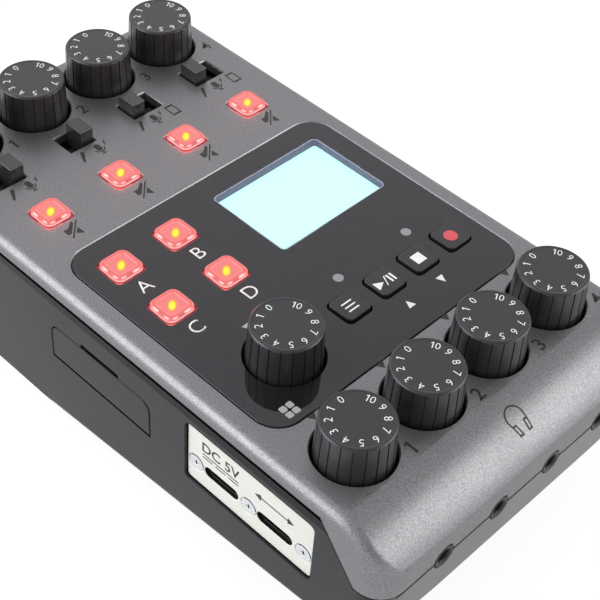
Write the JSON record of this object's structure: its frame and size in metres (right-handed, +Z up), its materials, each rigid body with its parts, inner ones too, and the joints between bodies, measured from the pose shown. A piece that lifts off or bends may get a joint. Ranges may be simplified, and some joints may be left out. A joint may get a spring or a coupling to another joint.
{
  "type": "digital mixer",
  "caption": "Portable audio mixer with a lit display, numbered rotary knobs, lit push buttons, slide switches, microphone and headphone sockets, card flap and battery door.",
  "frame": {"origin": "on the table under the middle of the body", "axes": "+X to the right, +Y to the rear where the microphone sockets are, +Z up out of the control surface"},
  "size_m": [0.098, 0.175, 0.0591],
  "materials": {
    "shell_paint": "metallic grey paint with a fine sparkle, satin",
    "case_plastic": "matte dark grey moulded plastic",
    "panel_gloss": "polished near-black acrylic",
    "window_clear": "clear polished pane",
    "display_lit": "lit pale display",
    "indicator": "grey translucent window",
    "board": "green circuit board",
    "pot_metal": "stamped steel",
    "switch_plastic": "dark grey moulded plastic",
    "connector_black": "black connector plastic",
    "contact_brass": "plated brass",
    "connector_steel": "nickel-plated steel",
    "plate_cream": "cream satin plastic",
    "screw_steel": "plated steel",
    "rubber": "black rubber",
    "knob_plastic": "black satin plastic with white figures",
    "shaft_metal": "turned metal",
    "button_red": "lit translucent red",
    "key_rubber": "dark grey rubber"
  },
  "bodies": {
    "casing": {"top_shell": "shell_paint", "bottom_case": "case_plastic", "display_panel": "panel_gloss", "lcd_window": "window_clear", "lcd_module": "display_lit", "indicator_lenses": "indicator", "control_board": "board", "main_board": "board", "pot_bodies": "pot_metal", "tact_switches": "switch_plastic", "slide_switch_bodies": "pot_metal", "xlr_shells": "connector_black", "xlr_inserts": "connector_black", "xlr_contacts": "contact_brass", "mini_jacks": "connector_black", "usb_sockets": "connector_steel", "connector_plate": "plate_cream", "plate_screws": "screw_steel", "card_socket": "connector_steel", "battery_contacts": "connector_steel", "case_screws": "screw_steel", "board_screws": "screw_steel", "rubber_feet": "rubber"},
    "gain_1": {"gain_knob_1": "knob_plastic", "gain_shaft_1": "shaft_metal"},
    "gain_2": {"gain_knob_2": "knob_plastic", "gain_shaft_2": "shaft_metal"},
    "gain_3": {"gain_knob_3": "knob_plastic", "gain_shaft_3": "shaft_metal"},
    "gain_4": {"gain_knob_4": "knob_plastic", "gain_shaft_4": "shaft_metal"},
    "phones_1": {"phones_knob_1": "knob_plastic", "phones_shaft_1": "shaft_metal"},
    "phones_2": {"phones_knob_2": "knob_plastic", "phones_shaft_2": "shaft_metal"},
    "phones_3": {"phones_knob_3": "knob_plastic", "phones_shaft_3": "shaft_metal"},
    "phones_4": {"phones_knob_4": "knob_plastic", "phones_shaft_4": "shaft_metal"},
    "pad_level": {"pad_knob": "knob_plastic", "pad_shaft": "shaft_metal"},
    "mute_1": {"mute_button_1": "button_red"},
    "mute_2": {"mute_button_2": "button_red"},
    "mute_3": {"mute_button_3": "button_red"},
    "mute_4": {"mute_button_4": "button_red"},
    "pad_a": {"pad_button_a": "button_red"},
    "pad_b": {"pad_button_b": "button_red"},
    "pad_c": {"pad_button_c": "button_red"},
    "pad_d": {"pad_button_d": "button_red"},
    "menu_key": {"menu_button": "key_rubber"},
    "play_key": {"play_button": "key_rubber"},
    "stop_key": {"stop_button": "key_rubber"},
    "record_key": {"record_button": "key_rubber"},
    "input_1": {"input_switch_1": "switch_plastic"},
    "input_2": {"input_switch_2": "switch_plastic"},
    "input_3": {"input_switch_3": "switch_plastic"},
    "input_4": {"input_switch_4": "switch_plastic"},
    "power": {"power_switch": "switch_plastic"},
    "door": {"battery_door": "case_plastic"},
    "cover": {"card_cover": "case_plastic"}
  },
  "joints": [
    {"name": "gain_1_turn", "type": "hinge", "parent": "casing", "child": "gain_1", "pos_m": [-0.03352, 0.0742, 0.049], "axis": [0, 0, 1], "range_deg": [-292, 8]},
    {"name": "gain_2_turn", "type": "hinge", "parent": "casing", "child": "gain_2", "pos_m": [-0.01117, 0.0742, 0.049], "axis": [0, 0, 1], "range_deg": [-292, 8]},
    {"name": "gain_3_turn", "type": "hinge", "parent": "casing", "child": "gain_3", "pos_m": [0.01117, 0.0742, 0.049], "axis": [0, 0, 1], "range_deg": [-292, 8]},
    {"name": "gain_4_turn", "type": "hinge", "parent": "casing", "child": "gain_4", "pos_m": [0.03352, 0.0742, 0.049], "axis": [0, 0, 1], "range_deg": [-292, 8]},
    {"name": "phones_1_turn", "type": "hinge", "parent": "casing", "child": "phones_1", "pos_m": [-0.03333, -0.06325, 0.049], "axis": [0, 0, 1], "range_deg": [-289, 11]},
    {"name": "phones_2_turn", "type": "hinge", "parent": "casing", "child": "phones_2", "pos_m": [-0.01098, -0.06325, 0.049], "axis": [0, 0, 1], "range_deg": [-297, 3]},
    {"name": "phones_3_turn", "type": "hinge", "parent": "casing", "child": "phones_3", "pos_m": [0.01137, -0.06325, 0.049], "axis": [0, 0, 1], "range_deg": [-297, 3]},
    {"name": "phones_4_turn", "type": "hinge", "parent": "casing", "child": "phones_4", "pos_m": [0.03372, -0.06325, 0.049], "axis": [0, 0, 1], "range_deg": [-299, 1]},
    {"name": "pad_level_turn", "type": "hinge", "parent": "casing", "child": "pad_level", "pos_m": [-0.02485, -0.0338, 0.049], "axis": [0, 0, 1], "range_deg": [-294, 6]},
    {"name": "mute_1_press", "type": "slide", "parent": "casing", "child": "mute_1", "axis": [0, 0, -1], "range_m": [0, 0.0008], "stiffness_N_per_m": 1500, "springref_m": -0.0003},
    {"name": "mute_2_press", "type": "slide", "parent": "casing", "child": "mute_2", "axis": [0, 0, -1], "range_m": [0, 0.0008], "stiffness_N_per_m": 1500, "springref_m": -0.0003},
    {"name": "mute_3_press", "type": "slide", "parent": "casing", "child": "mute_3", "axis": [0, 0, -1], "range_m": [0, 0.0008], "stiffness_N_per_m": 1500, "springref_m": -0.0003},
    {"name": "mute_4_press", "type": "slide", "parent": "casing", "child": "mute_4", "axis": [0, 0, -1], "range_m": [0, 0.0008], "stiffness_N_per_m": 1500, "springref_m": -0.0003},
    {"name": "pad_a_press", "type": "slide", "parent": "casing", "child": "pad_a", "axis": [0, 0, -1], "range_m": [0, 0.0008], "stiffness_N_per_m": 1500, "springref_m": -0.0003},
    {"name": "pad_b_press", "type": "slide", "parent": "casing", "child": "pad_b", "axis": [0, 0, -1], "range_m": [0, 0.0008], "stiffness_N_per_m": 1500, "springref_m": -0.0003},
    {"name": "pad_c_press", "type": "slide", "parent": "casing", "child": "pad_c", "axis": [0, 0, -1], "range_m": [0, 0.0008], "stiffness_N_per_m": 1500, "springref_m": -0.0003},
    {"name": "pad_d_press", "type": "slide", "parent": "casing", "child": "pad_d", "axis": [0, 0, -1], "range_m": [0, 0.0008], "stiffness_N_per_m": 1500, "springref_m": -0.0003},
    {"name": "menu_press", "type": "slide", "parent": "casing", "child": "menu_key", "axis": [0, 0, -1], "range_m": [0, 0.0008], "stiffness_N_per_m": 1500, "springref_m": -0.0003},
    {"name": "play_press", "type": "slide", "parent": "casing", "child": "play_key", "axis": [0, 0, -1], "range_m": [0, 0.0008], "stiffness_N_per_m": 1500, "springref_m": -0.0003},
    {"name": "stop_press", "type": "slide", "parent": "casing", "child": "stop_key", "axis": [0, 0, -1], "range_m": [0, 0.0008], "stiffness_N_per_m": 1500, "springref_m": -0.0003},
    {"name": "record_press", "type": "slide", "parent": "casing", "child": "record_key", "axis": [0, 0, -1], "range_m": [0, 0.0008], "stiffness_N_per_m": 1500, "springref_m": -0.0003},
    {"name": "input_1_slide", "type": "slide", "parent": "casing", "child": "input_1", "axis": [1, 0, 0], "range_m": [-0.0036, 0]},
    {"name": "input_2_slide", "type": "slide", "parent": "casing", "child": "input_2", "axis": [1, 0, 0], "range_m": [-0.0036, 0]},
    {"name": "input_3_slide", "type": "slide", "parent": "casing", "child": "input_3", "axis": [1, 0, 0], "range_m": [0, 0.0055]},
    {"name": "input_4_slide", "type": "slide", "parent": "casing", "child": "input_4", "axis": [1, 0, 0], "range_m": [0, 0.0055]},
    {"name": "power_slide", "type": "slide", "parent": "casing", "child": "power", "axis": [0, 1, 0], "range_m": [0, 0.0036]},
    {"name": "door_slide", "type": "slide", "parent": "casing", "child": "door", "axis": [0, -1, 0], "range_m": [0, 0.034]},
    {"name": "cover_hinge", "type": "hinge", "parent": "casing", "child": "cover", "pos_m": [-0.0479, 0.00295, 0.0241], "axis": [0, -1, 0], "range_deg": [0, 90]}
  ]
}
